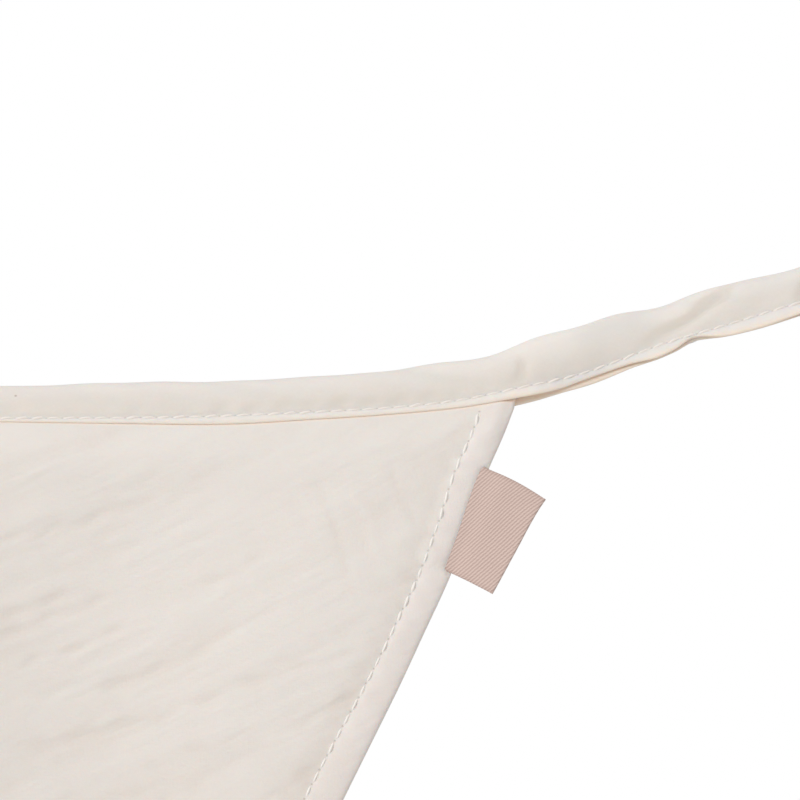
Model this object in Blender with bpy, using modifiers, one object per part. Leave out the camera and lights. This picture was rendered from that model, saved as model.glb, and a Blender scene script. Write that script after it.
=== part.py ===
"""Fabric bunting: three bagged-out cotton pennants sewn into one folded tape that hangs in a swag.

Lengths are in millimetres here and become metres in the meshes. X runs along the bunting, Z is up
and the front faces -Y. The origin is the end of the left tie, where the bunting is tied up.
"""

import math
from collections import namedtuple

import bpy
import numpy as np

MM = 0.001

# Driving dimensions of the tape, which is folded over the pennants' top edges
PENNANT_TOP = 201.0
GAP = 69.0
TIE = 274.5
PITCH = PENNANT_TOP + GAP
HALF_TAPE = PENNANT_TOP / 2 + GAP + PENNANT_TOP + TIE
TURNED_END = 12.0
TAPE_WALL = 1.0
SLOT_AT_PENNANT = 0.9
SLOT_CLOSED = 0.18
SLOT_EASE = (103.5, 111.0)
LIP_FLARE = 0.2
FOLD_HEIGHT = 2.3
FOLD_TURNS = (0, 40, 90, 140, 180)
LEG_MIDDLE = 0.4
LEG_BELLY = 0.55

# Driving dimensions of a pennant; depths are measured down from the tape's row of stitches
PENNANT_DROP = 212.0
TUCKED_IN = 5.5
HELD = 3.6
HEM_OPENS = 5.0
SIDE_BOW = 2.4
BOW_REACH = 100.0
TIP_HALF_WIDTH = 2.9
TIP_ROUND = 2.6
TIP_BLUNT = 0.94
TUCKED_THICKNESS = 1.0
CLOTH_THICKNESS = 1.6
EASE_TO_HANG = 5.0
LINE_FADE = 90.0
FOLD_FADE = 30.0

# The woven label in the middle pennant's right seam
LABEL_START = 15.0
LABEL_END = 34.2
LABEL_OUT_TOP = 13.4
LABEL_OUT_END = 10.3
LABEL_THICKNESS = 1.1
LABEL_PROFILE = (0.9, 1.0, 1.0, 1.0, 1.1, 0.8)
LABEL_ROWS = 7
LABEL_CURL = 0.9
PIECE_GAP = 0.3

# Slope of the hanging line by the distance from the middle pennant's centre, the same both ways:
# nearly level across a pennant, which holds the line straight, and turning at its corners
Line = namedtuple("Line", "along slope")
LINE = [
    Line(0, 0.0),
    Line(30, 0.4),
    Line(48, 2.5),
    Line(72, 4.2),
    Line(85, 7.8),
    Line(96, 14.0),
    Line(103, 14.5),
    Line(112, 15.4),
    Line(121, 18.6),
    Line(131, 17.6),
    Line(141, 16.8),
    Line(150, 16.6),
    Line(165, 18.5),
    Line(180, 24.0),
    Line(200, 28.5),
    Line(270, 29.5),
    Line(345, 31.0),
    Line(360, 35.0),
    Line(375, 39.5),
    Line(400, 40.5),
    Line(HALF_TAPE, 42.5),
]

# How the folded tape lies along the line: how far its fold leans back, how far its two lips
# hang below the stitches, how far its fold rises above them, and how plump it is
Tape = namedtuple("Tape", "along lean front_lip back_lip rise plump")
TAPE = [
    Tape(-HALF_TAPE, 4, 1.8, 1.9, 9.0, 0.95),
    Tape(-HALF_TAPE + TURNED_END, 6, 1.8, 1.9, 9.2, 1.05),
    Tape(-560, 24, 1.9, 2.2, 9.5, 1.55),
    Tape(-480, -16, 1.8, 2.1, 9.6, 1.50),
    Tape(-415, 8, 1.7, 2.4, 9.6, 1.60),
    Tape(-372, 26, 1.5, 2.6, 9.2, 1.75),
    Tape(-330, 33, 1.2, 2.8, 9.0, 1.80),
    Tape(-220, 29, 1.2, 2.8, 8.9, 1.80),
    Tape(-165, 10, 1.6, 2.2, 9.4, 1.60),
    Tape(-140, -4, 1.9, 2.4, 9.6, 1.55),
    Tape(-112, 12, 1.8, 2.8, 9.4, 1.65),
    Tape(-90, 28, 1.4, 2.9, 9.2, 1.80),
    Tape(-40, 36, 1.2, 2.9, 9.0, 1.80),
    Tape(0, 40, 1.3, 2.9, 8.9, 1.80),
    Tape(22, 34, 1.4, 2.9, 8.9, 1.80),
    Tape(44, 34, 1.9, 2.9, 9.0, 1.80),
    Tape(62, 34, 1.4, 2.9, 9.0, 1.85),
    Tape(86, 32, 1.5, 2.7, 9.2, 1.85),
    Tape(99, 26, 2.1, 2.3, 8.9, 1.70),
    Tape(108, 12, 2.0, 2.2, 9.1, 1.45),
    Tape(115, 7, 1.4, 2.2, 9.3, 1.70),
    Tape(124, 25, 1.7, 1.8, 9.6, 1.65),
    Tape(131, 40, 2.6, 2.0, 9.8, 1.45),
    Tape(136, 42, 0.6, 0.5, 9.8, 1.60),
    Tape(141, 37, 2.0, 1.2, 9.8, 1.75),
    Tape(150, 39, 2.9, 2.0, 9.7, 1.60),
    Tape(160, 44, 2.7, 2.1, 9.6, 1.55),
    Tape(172, 36, 1.6, 2.7, 9.2, 1.70),
    Tape(205, 30, 1.3, 2.9, 8.9, 1.80),
    Tape(330, 35, 1.3, 2.9, 9.0, 1.80),
    Tape(375, 22, 1.6, 2.6, 9.3, 1.70),
    Tape(420, -8, 1.8, 2.2, 9.6, 1.55),
    Tape(495, 20, 1.8, 2.3, 9.5, 1.60),
    Tape(570, -12, 1.9, 2.1, 9.5, 1.50),
    Tape(HALF_TAPE - TURNED_END, 2, 1.8, 1.9, 9.2, 1.05),
    Tape(HALF_TAPE, 3, 1.8, 1.9, 9.0, 0.95),
]

# Stations along the tape are closest where the photographed gap twists
Stretch = namedtuple("Stretch", "start end step")
STRETCHES = [
    Stretch(-HALF_TAPE, -HALF_TAPE + TURNED_END, 6.0),
    Stretch(-HALF_TAPE + TURNED_END, -375, 12.9),
    Stretch(-375, -165, 10.5),
    Stretch(-165, -90, 5.0),
    Stretch(-90, 85, 8.75),
    Stretch(85, 170, 3.4),
    Stretch(170, 375, 10.25),
    Stretch(375, HALF_TAPE - TURNED_END, 12.9),
    Stretch(HALF_TAPE - TURNED_END, HALF_TAPE, 6.0),
]

# A pennant's place along the tape, and the angle by which gravity draws its tip to the low side
Pennant = namedtuple("Pennant", "name middle swing")
PENNANTS = [
    Pennant("pennant_left", -PITCH, -9.0),
    Pennant("pennant_middle", 0, 0.0),
    Pennant("pennant_right", PITCH, 9.0),
]

# Thickness across the seamed edge: rolled rim, puffy hem, sewn channel, then the plain double cloth
Edge = namedtuple("Edge", "inset thickness")
EDGE = [
    Edge(0.0, 0.9),
    Edge(1.2, 1.9),
    Edge(3.4, 2.4),
    Edge(6.4, 1.2),
    Edge(9.8, 1.7),
]
INNER_COLUMNS = 12
IN_TAPE_ROWS = (-TUCKED_IN, -TUCKED_IN / 2, 0, HELD)
HANGING_ROWS = (8, 15, 24, 35, 49, 66, 84, 102, 120, 138, 155, 170, 183, 194, 202, 207, 210, PENNANT_DROP)

# Soft folds of the hanging cloth, each from a place under the tape to one at the tip's height
Fold = namedtuple("Fold", "pennant top bottom width forward")
FOLDS = [
    Fold("pennant_left", -95, -8, 30, 4.2),
    Fold("pennant_left", 40, 20, 34, -3.6),
    Fold("pennant_middle", -60, -20, 38, 2.8),
    Fold("pennant_middle", 8, 4, 32, -2.4),
    Fold("pennant_middle", 78, 30, 30, 2.2),
    Fold("pennant_right", 95, 10, 30, 4.6),
    Fold("pennant_right", -35, -14, 36, -3.2),
]

# Colours of the undyed cotton and of the woven label, linear
COTTON = (0.80, 0.735, 0.675)
TAPE_COTTON = (0.79, 0.72, 0.655)
LABEL_BEIGE = (0.60, 0.42, 0.355)
CLOTH_ROUGHNESS = 0.92
LABEL_ROUGHNESS = 0.72


def clear_scene():
    for thing in list(bpy.data.objects):
        bpy.data.objects.remove(thing, do_unlink=True)


def ease(value, start, end):
    """0 before the start, 1 after the end and a soft step between."""
    t = np.clip((np.asarray(value, dtype=float) - start) / (end - start), 0.0, 1.0)
    return t * t * (3.0 - 2.0 * t)


def read(rows, column, at):
    """The smooth curve through one column of a table whose first column says where."""
    places = np.array([row[0] for row in rows], dtype=float)
    values = np.array([getattr(row, column) for row in rows], dtype=float)
    rate = np.gradient(values, places)
    k = np.clip(np.searchsorted(places, at) - 1, 0, len(places) - 2)
    span = places[k + 1] - places[k]
    t = np.clip((at - places[k]) / span, 0.0, 1.0)
    start = (2 * t**3 - 3 * t**2 + 1) * values[k] + (t**3 - 2 * t**2 + t) * span * rate[k]
    end = (3 * t**2 - 2 * t**3) * values[k + 1] + (t**3 - t**2) * span * rate[k + 1]
    return start + end


def slope_at(along):
    """The line's slope in radians, falling to the middle and rising after it."""
    return np.radians(np.sign(along) * read(LINE, "slope", np.abs(along)))


def hanging_line():
    """The row of stitches from the left end, by adding up its slope in 1 mm steps."""
    along = np.arange(-HALF_TAPE, HALF_TAPE + 1.0)
    slope = slope_at(along[:-1] + 0.5)
    x = np.concatenate([[0.0], np.cumsum(np.cos(slope))])
    z = np.concatenate([[0.0], np.cumsum(np.sin(slope))])
    return along, x, z


ALONG, LINE_X, LINE_Z = hanging_line()


def in_tape(along, out, up):
    """A point of the folded tape, out towards the front and up from its stitches."""
    along, out, up = np.broadcast_arrays(
        np.asarray(along, dtype=float), np.asarray(out, dtype=float), np.asarray(up, dtype=float)
    )
    slope = slope_at(along)
    lean = np.radians(read(TAPE, "lean", along))
    rise = up * np.cos(lean) + out * np.sin(lean)
    x = np.interp(along, ALONG, LINE_X) - np.sin(slope) * rise
    y = up * np.sin(lean) - out * np.cos(lean)
    z = np.interp(along, ALONG, LINE_Z) + np.cos(slope) * rise
    return np.stack([x, y, z], axis=-1)


TIED_END = in_tape(-HALF_TAPE, 0.0, (TAPE[0].rise - TAPE[0].front_lip) / 2)


def slot_at(along):
    """Half the room between the tape's legs: open round a pennant, sewn shut elsewhere."""
    nearest = np.min([np.abs(along - pennant.middle) for pennant in PENNANTS], axis=0)
    return SLOT_AT_PENNANT + (SLOT_CLOSED - SLOT_AT_PENNANT) * ease(nearest, *SLOT_EASE)


def half_width(down):
    """Half the pennant's width at a depth: straight sides, bowed near the top, and a blunt tip."""
    side = (PENNANT_TOP / 2 - TIP_HALF_WIDTH) / PENNANT_DROP
    width = TIP_HALF_WIDTH + side * (PENNANT_DROP - down)
    width = width + SIDE_BOW * np.sin(math.pi * np.clip(down / BOW_REACH, 0.0, 1.0))
    round_off = np.clip((down - PENNANT_DROP + TIP_ROUND) / TIP_ROUND, 0.0, TIP_BLUNT)
    return width * np.sqrt(1.0 - round_off**2)


def fold_depth(name, across, down):
    """How far the soft folds bring the cloth forward."""
    forward = np.zeros(np.shape(across))
    for fold in FOLDS:
        if fold.pennant == name:
            centre = fold.top + (fold.bottom - fold.top) * down / PENNANT_DROP
            forward = forward + fold.forward * np.exp(-(((across - centre) / fold.width) ** 2))
    return forward * ease(down, HELD, HELD + FOLD_FADE)


def in_pennant(pennant, across, down):
    """A point of a pennant's middle surface: held by the tape above, then turning to hang."""
    along = pennant.middle + across
    held = in_tape(along, 0.0, -np.minimum(down, HELD))
    tilt = float(slope_at(np.array(float(pennant.middle))))
    way = np.array([math.cos(tilt), 0.0, math.sin(tilt)])
    upward = np.array([-math.sin(tilt), 0.0, math.cos(tilt)])
    centre = in_tape(pennant.middle, 0.0, 0.0)
    start = in_tape(pennant.middle, 0.0, -HELD) - centre
    start_level = start @ upward
    free = np.maximum(down - HELD, 0.0)
    follow = 1.0 - ease(free, 0.0, LINE_FADE)
    lean = np.radians(read(TAPE, "lean", along))
    turning = EASE_TO_HANG * (1.0 - np.exp(-free / EASE_TO_HANG))
    offset = held - centre
    sideways = across + (offset @ way - across) * follow
    sideways = sideways - math.tan(math.radians(pennant.swing)) * free
    level = start_level + (offset @ upward - start_level) * follow
    level = level - free + (1.0 - np.cos(lean)) * turning
    depth = start[1] + (offset[..., 1] - start[1]) * follow - np.sin(lean) * turning
    depth = depth - fold_depth(pennant.name, across, down)
    hung = centre + sideways[..., None] * way + level[..., None] * upward
    hung[..., 1] = depth
    return np.where((down <= HELD)[..., None], held, hung)


def cloth_object(name, points, thickness, colour, roughness, collection):
    """A sheet through a grid of points, thickened evenly both ways by its own local thickness."""
    rows, columns = points.shape[:2]
    corners = ((points.reshape(-1, 3) - TIED_END) * MM).tolist()
    faces = [
        (r * columns + c, r * columns + c + 1, (r + 1) * columns + c + 1, (r + 1) * columns + c)
        for r in range(rows - 1)
        for c in range(columns - 1)
    ]
    mesh = bpy.data.meshes.new(name)
    mesh.from_pydata(corners, [], faces)
    mesh.update()
    sheet = bpy.data.objects.new(name, mesh)
    collection.objects.link(sheet)
    most = float(np.max(thickness))
    weights = sheet.vertex_groups.new(name="thickness")
    for index, value in enumerate(np.broadcast_to(thickness, (rows, columns)).ravel()):
        weights.add([index], float(value) / most, "REPLACE")
    solid = sheet.modifiers.new("cloth", "SOLIDIFY")
    solid.thickness = most * MM
    solid.offset = 0.0
    solid.use_even_offset = True
    solid.vertex_group = weights.name
    solid.thickness_vertex_group = 0.0
    mesh.shade_smooth()
    mesh.materials.append(cloth_material(name, colour, roughness))
    return sheet


def cloth_material(name, colour, roughness):
    material = bpy.data.materials.new(name)
    material.use_nodes = True
    surface = material.node_tree.nodes["Principled BSDF"]
    surface.inputs["Base Color"].default_value = (*colour, 1.0)
    surface.inputs["Roughness"].default_value = roughness
    surface.inputs["Metallic"].default_value = 0.0
    return material


def stations():
    """The places along the tape where its section is set."""
    places = [STRETCHES[0].start]
    for stretch in STRETCHES:
        count = max(1, round((stretch.end - stretch.start) / stretch.step))
        places += [
            stretch.start + (stretch.end - stretch.start) * (n + 1) / count for n in range(count)
        ]
    return np.array(places, dtype=float)


def tape_section(along):
    """The middle of the tape's wall from the front lip over the fold to the back lip."""
    slot = slot_at(along) + TAPE_WALL / 2
    plump = np.maximum(read(TAPE, "plump", along), slot)
    rise = read(TAPE, "rise", along)
    shoulder = rise - FOLD_HEIGHT
    front = [
        (slot + LIP_FLARE, -read(TAPE, "front_lip", along)),
        (slot, 0.0 * along),
        (slot + LEG_BELLY * (plump - slot), shoulder * LEG_MIDDLE),
    ]
    fold = [
        (plump * math.cos(math.radians(turn)), shoulder + FOLD_HEIGHT * math.sin(math.radians(turn)))
        for turn in FOLD_TURNS
    ]
    back = [
        (-slot - LEG_BELLY * (plump - slot), shoulder * LEG_MIDDLE),
        (-slot, 0.0 * along),
        (-slot - LIP_FLARE, -read(TAPE, "back_lip", along)),
    ]
    return front + fold + back


def add_tape(collection):
    along = stations()
    section = tape_section(along)
    points = np.stack([in_tape(along, out, up) for out, up in section], axis=0)
    return cloth_object("tape", points, TAPE_WALL, TAPE_COTTON, CLOTH_ROUGHNESS, collection)


def pennant_grid():
    """How far across, how far down and how thick the cloth is at each point of a pennant."""
    across = []
    thickness = []
    rows = IN_TAPE_ROWS + HANGING_ROWS
    for down in rows:
        half = float(half_width(np.array(float(down))))
        squeeze = min(1.0, half / (2.0 * EDGE[-1].inset))
        insets = [edge.inset * squeeze for edge in EDGE]
        inner = half - insets[-1]
        middle = [inner * (2.0 * n / INNER_COLUMNS - 1.0) for n in range(1, INNER_COLUMNS)]
        left = [-half + inset for inset in insets]
        right = [half - inset for inset in reversed(insets)]
        across.append(left + middle + right)
        hem = [edge.thickness for edge in EDGE]
        full = np.array(hem + [CLOTH_THICKNESS] * len(middle) + hem[::-1])
        loose = float(ease(down, HELD, HELD + HEM_OPENS))
        thickness.append(TUCKED_THICKNESS + (full - TUCKED_THICKNESS) * loose)
    thickness[-1][:] = EDGE[0].thickness
    down = np.array(rows, dtype=float)[:, None] + np.zeros((1, len(across[0])))
    return np.array(across), down, np.array(thickness)


def add_pennants(collection):
    across, down, thickness = pennant_grid()
    for pennant in PENNANTS:
        points = in_pennant(pennant, across, down)[::-1]
        cloth_object(
            pennant.name, points, thickness[::-1], COTTON, CLOTH_ROUGHNESS, collection
        )


def add_label(collection):
    """A folded ribbon that stands out of the middle pennant's right seam, square to it."""
    pennant = PENNANTS[1]
    down = np.linspace(LABEL_START, LABEL_END, LABEL_ROWS)
    root = in_pennant(pennant, half_width(down), down)
    along = np.gradient(root, axis=0)
    along = along / np.linalg.norm(along, axis=1)[:, None]
    outward = np.cross(along, (0.0, 1.0, 0.0))
    outward = outward / np.linalg.norm(outward, axis=1)[:, None]
    length = np.linspace(LABEL_OUT_TOP, LABEL_OUT_END, LABEL_ROWS)
    points = []
    for r in range(LABEL_ROWS):
        reach = np.linspace(PIECE_GAP, length[r], len(LABEL_PROFILE))[:, None]
        lift = LABEL_CURL * (r + 2) / (LABEL_ROWS + 1)
        forward = lift * np.sin(0.5 * math.pi * reach / length[r])
        points.append(root[r] + outward[r] * reach - forward * np.array([0.0, 1.0, 0.0]))
    thickness = LABEL_THICKNESS * np.array([LABEL_PROFILE])
    grid = np.array(points)
    cloth_object("label", grid, thickness, LABEL_BEIGE, LABEL_ROUGHNESS, collection)


def build():
    clear_scene()
    collection = bpy.data.collections.new("fabric_bunting")
    bpy.context.scene.collection.children.link(collection)
    add_tape(collection)
    add_pennants(collection)
    add_label(collection)


build()
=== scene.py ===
import math
from collections import namedtuple

import bpy
import numpy as np
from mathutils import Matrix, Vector


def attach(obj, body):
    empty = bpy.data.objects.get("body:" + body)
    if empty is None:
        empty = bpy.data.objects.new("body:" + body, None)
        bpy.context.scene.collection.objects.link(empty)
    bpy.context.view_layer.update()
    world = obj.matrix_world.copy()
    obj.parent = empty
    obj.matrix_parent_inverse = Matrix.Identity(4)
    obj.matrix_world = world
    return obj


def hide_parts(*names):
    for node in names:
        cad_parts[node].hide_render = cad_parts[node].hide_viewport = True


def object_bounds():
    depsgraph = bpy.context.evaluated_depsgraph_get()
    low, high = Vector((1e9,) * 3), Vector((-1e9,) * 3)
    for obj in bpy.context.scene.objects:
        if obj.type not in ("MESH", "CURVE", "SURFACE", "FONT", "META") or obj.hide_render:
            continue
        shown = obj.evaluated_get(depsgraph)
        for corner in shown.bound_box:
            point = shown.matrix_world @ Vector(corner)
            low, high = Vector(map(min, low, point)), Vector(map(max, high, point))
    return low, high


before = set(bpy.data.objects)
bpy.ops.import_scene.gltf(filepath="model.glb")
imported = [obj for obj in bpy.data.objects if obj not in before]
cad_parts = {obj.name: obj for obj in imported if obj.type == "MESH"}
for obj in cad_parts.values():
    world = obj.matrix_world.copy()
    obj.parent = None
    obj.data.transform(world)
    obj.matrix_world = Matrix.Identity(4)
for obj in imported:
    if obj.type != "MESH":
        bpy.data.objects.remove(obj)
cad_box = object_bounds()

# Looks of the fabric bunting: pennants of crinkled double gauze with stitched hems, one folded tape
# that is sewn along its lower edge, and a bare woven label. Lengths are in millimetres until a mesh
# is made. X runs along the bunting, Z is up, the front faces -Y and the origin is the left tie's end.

MM = 0.001
FRONT = 1
BACK = -1

# The tape and the line that it hangs in
PENNANT_TOP = 201.0
GAP = 69.0
TIE = 274.5
PITCH = PENNANT_TOP + GAP
HALF_TAPE = PENNANT_TOP / 2 + GAP + PENNANT_TOP + TIE
TURNED_END = 12.0
TAPE_WALL = 1.0
SLOT_AT_PENNANT = 0.64
SLOT_CLOSED = 0.14
SLOT_EASE = (103.5, 111.0)
LIP_FLARE = 0.25
BACK_CURL = 0.75
FOLD_HEIGHT = 2.3

# The pennants, with depths measured down from the tape's row of stitches
PENNANT_DROP = 212.0
TUCKED_IN = 5.5
HELD = 3.6
HEM_OPENS = 5.0
HEM = 6.4
TIP_HALF_WIDTH = 2.9
TIP_ROUND = 2.6
TIP_BLUNT = 0.94
TUCKED_THICKNESS = 1.0
EASE_TO_HANG = 5.0
LINE_FADE = 90.0
FOLD_FADE = 30.0

# The woven label in the middle pennant's right seam
LABEL_START = 15.0
LABEL_END = 33.9
LABEL_OUT_TOP = 12.4
LABEL_OUT_END = 8.8
LABEL_TURN = 5.0
LABEL_TUCK = 3.0
LABEL_OVERLAP = (1.25, 1.65)
LABEL_CURL = 0.9
RIBBON = 0.36
RIBBON_GAP = 0.12

# Sewing
STITCH = 3.15
THREAD_RADIUS = 0.26
TAPE_ARCH = 0.17
HEM_ARCH = 0.36
HOLE_RADIUS = 0.30


def table(kind, *rows):
    """A list of named rows."""
    return [kind(*row) for row in rows]


Line = namedtuple("Line", "along slope")
LINE = table(
    Line,
    (0, 0.0), (12, 0.6), (30, 0.9), (48, 2.4), (72, 3.8), (85, 7.2), (96, 13.4), (103, 14.5),
    (112, 15.4), (121, 18.6), (131, 17.6), (141, 16.8), (150, 16.6), (165, 18.5), (180, 24.0),
    (200, 28.5), (270, 29.5), (345, 31.0), (360, 35.0), (375, 39.5), (400, 40.5), (HALF_TAPE, 42.5),
)

Tape = namedtuple("Tape", "along lean front_lip back_lip rise plump")
TAPE = table(
    Tape,
    (-HALF_TAPE, 4, 1.8, 1.9, 9.0, 0.95),
    (-HALF_TAPE + TURNED_END, 6, 1.8, 1.9, 9.2, 1.05),
    (-560, 24, 1.9, 2.2, 9.5, 1.55),
    (-480, -16, 1.8, 2.1, 9.6, 1.50),
    (-415, 8, 1.7, 2.4, 9.6, 1.60),
    (-372, 26, 1.5, 2.6, 9.2, 1.75),
    (-330, 33, 1.2, 2.8, 9.0, 1.80),
    (-220, 29, 1.2, 2.8, 8.9, 1.80),
    (-165, 10, 1.6, 2.2, 9.4, 1.60),
    (-140, -4, 1.9, 2.4, 9.6, 1.55),
    (-112, 12, 1.8, 2.8, 9.4, 1.65),
    (-90, 28, 1.4, 2.9, 9.2, 1.80),
    (-40, 36, 1.2, 2.9, 9.0, 1.80),
    (0, 40, 0.9, 2.9, 8.45, 2.20),
    (22, 34, 1.3, 2.9, 8.45, 2.20),
    (44, 34, 1.95, 2.9, 8.4, 2.20),
    (62, 34, 1.65, 2.9, 8.45, 2.20),
    (86, 32, 1.6, 2.7, 9.2, 2.20),
    (99, 26, 2.0, 2.4, 8.5, 2.00),
    (108, 12, 2.0, 2.6, 9.2, 1.55),
    (115, 7, 1.4, 2.6, 8.95, 1.50),
    (124, 25, 1.55, 2.1, 9.4, 1.60),
    (131, 40, 2.5, 1.9, 9.7, 1.45),
    (134.3, 42, 1.75, 1.3, 9.8, 1.50),
    (136.4, 41, 0.75, 0.6, 9.8, 1.55),
    (137.5, 40, 0.45, 0.3, 9.8, 1.58),
    (139.0, 39, 0.7, 0.5, 9.8, 1.60),
    (143, 37, 2.1, 1.4, 9.7, 1.70),
    (150, 39, 2.9, 2.0, 9.6, 1.60),
    (160, 44, 2.7, 2.1, 9.3, 1.55),
    (172, 36, 1.6, 2.7, 9.2, 1.70),
    (205, 30, 1.3, 2.9, 8.9, 1.80),
    (330, 35, 1.3, 2.9, 9.0, 1.80),
    (375, 22, 1.6, 2.6, 9.3, 1.70),
    (420, -8, 1.8, 2.2, 9.6, 1.55),
    (495, 20, 1.8, 2.3, 9.5, 1.60),
    (570, -12, 1.9, 2.1, 9.5, 1.50),
    (HALF_TAPE - TURNED_END, 2, 1.8, 1.9, 9.2, 1.05),
    (HALF_TAPE, 3, 1.8, 1.9, 9.0, 0.95),
)

# Where the fine tape has its cross sections
Stretch = namedtuple("Stretch", "start end step")
STRETCHES = table(
    Stretch,
    (-HALF_TAPE, -104, 1.6),
    (-104, -6, 1.2),
    (-6, 166, 0.7),
    (166, HALF_TAPE, 1.6),
)

# Soft dents and ridges of the tape's two faces, at a height above the stitches and turned from the line
Dent = namedtuple("Dent", "face along height length width turn out")
DENTS = table(
    Dent,
    (FRONT, 102.6, 3.4, 2.4, 1.5, 78, -0.50),
    (FRONT, 97.5, 4.6, 3.0, 1.6, 60, 0.10),
    (FRONT, 113.0, 2.2, 8.0, 1.4, 2, -0.04),
    (FRONT, 135.6, 3.4, 6.8, 1.3, 14, -0.95),
    (FRONT, 142.5, 5.7, 5.5, 1.6, 26, -1.15),
    (FRONT, 140.0, 2.4, 7.0, 1.5, 14, 0.25),
    (FRONT, 161.5, 2.6, 3.2, 1.4, 62, -0.60),
    (FRONT, 118.0, 5.4, 9.0, 2.0, 8, 0.06),
    (FRONT, 70.0, 1.8, 26.0, 1.3, 0, -0.22),
    (BACK, 106.0, 4.5, 4.0, 2.0, -50, -0.60),
    (BACK, 131.0, 4.8, 8.0, 1.8, -25, -0.55),
    (BACK, 152.0, 4.0, 6.0, 1.8, 30, -0.40),
    (FRONT, -105.0, 5.0, 4.0, 2.0, -60, -0.65),
    (FRONT, -128.0, 4.5, 8.0, 1.9, -18, -0.45),
    (BACK, -106.0, 5.0, 4.5, 2.0, 55, -0.55),
    (FRONT, 166.0, 5.2, 4.0, 2.0, -58, -0.60),
    (FRONT, 374.0, 5.2, 4.0, 2.0, 55, -0.60),
    (FRONT, -374.0, 5.2, 4.0, 2.0, -55, -0.60),
    (FRONT, -166.0, 5.2, 4.0, 2.0, 58, -0.60),
)

Pennant = namedtuple("Pennant", "name middle swing columns seed")
PENNANTS = table(
    Pennant,
    ("pennant_left", -PITCH, -9.0, 230, 11),
    ("pennant_middle", 0, 0.0, 312, 23),
    ("pennant_right", PITCH, 9.0, 230, 37),
)
TIP_COLUMNS = 36
LEAST_SPACING = 0.35

# Insets of the mesh's outer columns from each side edge, close together at the rim and the channel
HEM_COLUMNS = (
    0, 0.1, 0.3, 0.6, 1.0, 1.4, 2.0, 2.7, 3.4, 4.1, 4.8,
    5.4, 5.8, 6.15, 6.4, 6.65, 7.0, 7.5, 8.2, 9.0, 9.8,
)

# How far the side edges stand out of the straight line to the tip, and the width of their sewn hems
Side = namedtuple("Side", "down bow hem")
SIDE = table(
    Side,
    (-TUCKED_IN, 0.3, 6.4), (0, 0.35, 6.4), (9, 0.8, 6.3), (16, 0.65, 6.25), (26, 1.6, 6.1),
    (35, 2.15, 6.0), (45, 1.9, 6.0), (55, 1.65, 6.3), (65, 1.15, 6.7), (77, 0.6, 7.0),
    (92, 0.2, 6.9), (112, 0.0, 6.5), (PENNANT_DROP, 0.0, 6.4),
)

# Thickness of the cloth by the distance from its rolled edge, over the hem and the sewn channel
Edge = namedtuple("Edge", "inset thickness")
EDGE = table(
    Edge,
    (0.0, 0.0), (0.12, 0.7), (0.4, 1.2), (0.9, 1.6), (1.7, 1.92), (3.2, 2.15), (4.6, 2.12),
    (5.6, 1.85), (6.4, 1.4), (7.2, 1.45), (8.8, 1.68), (11.0, 1.85), (16.0, 1.65),
)

# How far the front face comes out to meet the tape's lip: under it by shares of the lip, below it in mm
Swell = namedtuple("Swell", "below out")
SWELL = table(
    Swell,
    (-1.4, 0.0), (-1.0, 0.10), (-0.75, 0.18), (-0.45, 0.31), (-0.14, 0.51), (0.0, 0.74),
    (0.25, 0.97), (0.6, 1.03), (2.0, 0.95), (4.5, 0.62), (14.0, 0.0),
)

# How far apart the mesh's rows are, as a share of the common spacing
Spacing = namedtuple("Spacing", "down share")
ROW_SPACING = table(
    Spacing,
    (-TUCKED_IN, 1.8), (-0.6, 1.6), (0.2, 0.45), (4.0, 0.5), (6.0, 0.9), (90.0, 1.0),
    (PENNANT_DROP, 1.3),
)

Fold = namedtuple("Fold", "pennant top bottom width forward")
FOLDS = table(
    Fold,
    ("pennant_left", -95, -8, 30, 4.2),
    ("pennant_left", 40, 20, 34, -3.6),
    ("pennant_middle", -60, -20, 38, 2.8),
    ("pennant_middle", 8, 4, 32, -2.4),
    ("pennant_middle", 78, 30, 30, 2.2),
    ("pennant_right", 95, 10, 30, 4.6),
    ("pennant_right", -35, -14, 36, -3.2),
)

# Creases of the photographed cloth: each a soft trough or ridge from one place to another
Crease = namedtuple("Crease", "across down across_end down_end width out")
CREASES = table(
    Crease,
    (-3, 26, 30, 16, 1.12, -0.19),
    (2, 22, 24, 14, 0.83, 0.08),
    (14, 17, 34, 9, 0.98, -0.09),
    (-3, 41, 13, 35, 1.27, -0.29),
    (-8, 47, 20, 36, 1.05, -0.23),
    (-2, 52, 26, 41, 0.90, -0.21),
    (6, 55, 34, 44, 0.83, 0.13),
    (12, 57, 40, 46, 0.98, -0.21),
    (24, 63, 62, 46, 1.05, -0.14),
    (37, 34, 50, 29, 0.90, -0.12),
    (40, 56, 73, 46, 0.90, -0.12),
    (36, 46, 52, 40, 0.75, -0.11),
    (30, 41, 48, 33, 1.20, 0.09),
    (58, 62, 76, 52, 1.12, -0.16),
    (46, 67, 70, 58, 0.98, 0.11),
    (0, 67, 30, 60, 1.20, -0.18),
    (18, 73, 48, 63, 1.12, -0.12),
    (52, 75, 66, 68, 1.05, -0.14),
    (-10, 62, 14, 55, 1.12, 0.12),
    (60, 14, 68, 36, 0.98, -0.08),
    (66, 12, 75, 34, 0.83, 0.07),
    (74, 10, 80, 26, 0.75, -0.07),
    (-14, 33, 4, 27, 1.05, -0.12),
    (4, 31, 22, 25, 0.90, 0.09),
)

# How many creases each face has in all, and the depth that they share
CREASE_COUNT = 640
CREASE_DEPTH = 1.5

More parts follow.
